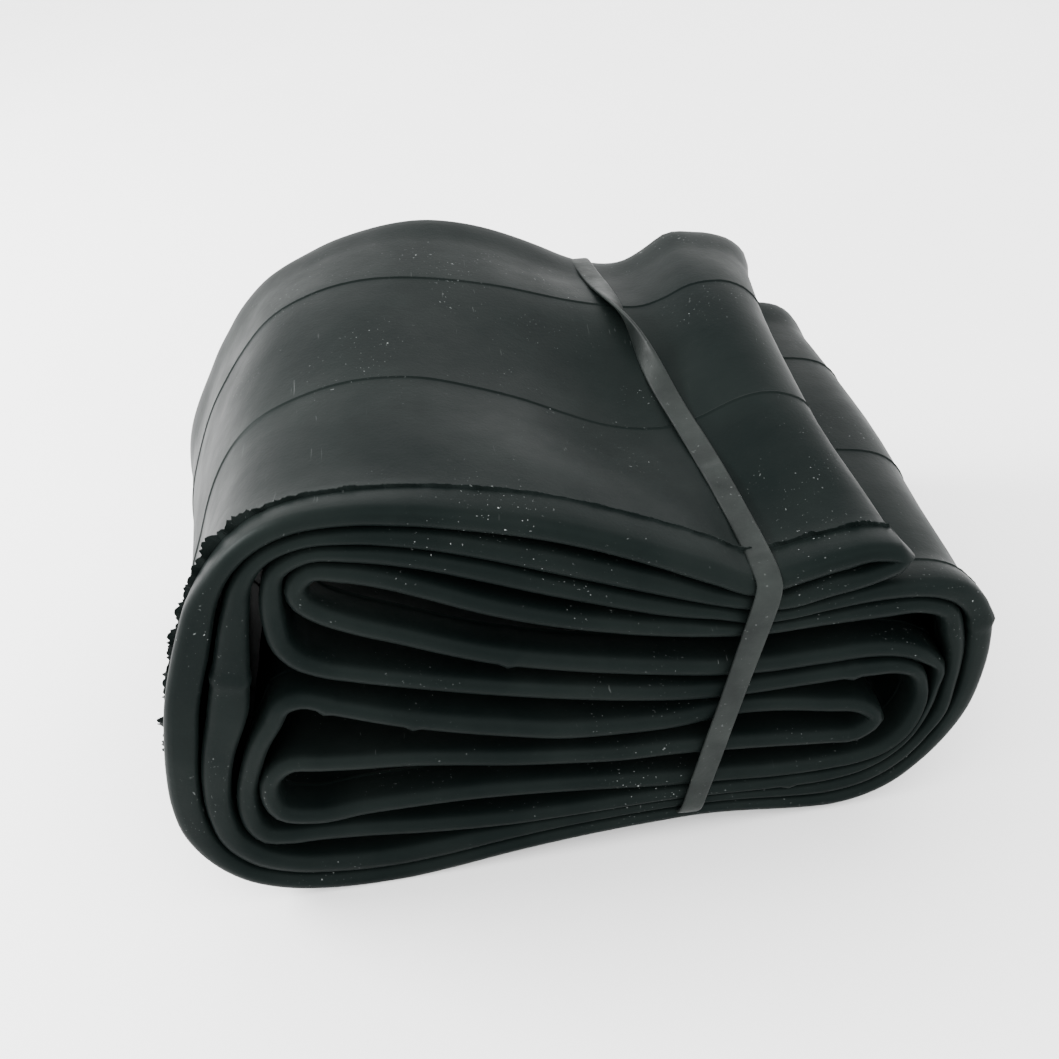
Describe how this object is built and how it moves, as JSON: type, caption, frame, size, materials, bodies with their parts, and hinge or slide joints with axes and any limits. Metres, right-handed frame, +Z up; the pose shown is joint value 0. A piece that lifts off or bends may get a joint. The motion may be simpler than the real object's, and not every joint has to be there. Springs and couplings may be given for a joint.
{
  "type": "inner tube",
  "caption": "Deflated bicycle inner tube with a screw-capped air valve, laid double, folded into a layered bundle and held by a rubber band.",
  "frame": {"origin": "centre of the bundle's footprint, on the surface that it lies on", "axes": "+X along the bundle towards the free outer fold, +Y across the flattened hose, +Z up"},
  "size_m": [0.1556, 0.1158, 0.0912],
  "materials": {
    "butyl": "satin",
    "band_rubber": "matt",
    "moulded_rubber": "matt",
    "stem_brass": "plain",
    "core_brass": "plain",
    "spring_steel": "plain",
    "seal_rubber": "matt",
    "cap_plastic": "satin"
  },
  "bodies": {
    "tube": {"tube_body": "butyl", "rubber_band": "band_rubber", "valve_base": "moulded_rubber", "valve_stem": "stem_brass", "core_plug": "core_brass", "core_barrel": "core_brass", "barrel_gasket": "seal_rubber", "core_spring": "spring_steel"},
    "core_pin": {"core_pin": "core_brass", "pin_cup": "core_brass", "cup_gasket": "seal_rubber"},
    "cap_seal": {"cap_gasket": "seal_rubber"},
    "dust_cap": {"dust_cap": "cap_plastic"}
  },
  "joints": [
    {"name": "pin_press", "type": "slide", "parent": "tube", "child": "core_pin", "axis": [-0.9701, 0, 0.2425], "range_m": [0, 0.001], "stiffness_N_per_m": 600, "springref_m": -0.0005, "deforming": ["core_spring"]},
    {"name": "cap_travel", "type": "slide", "parent": "tube", "child": "cap_seal", "axis": [0.9701, 0, -0.2425], "range_m": [0, 0.00953]},
    {"name": "cap_turn", "type": "hinge", "parent": "cap_seal", "child": "dust_cap", "pos_m": [-0.05705, 0, 0.0456], "axis": [0.9701, 0, -0.2425], "range_deg": [0, 4320]}
  ],
  "couplings": [
    {"joint": "cap_turn", "follows": "cap_travel", "rad_per_m": 7913.3}
  ]
}
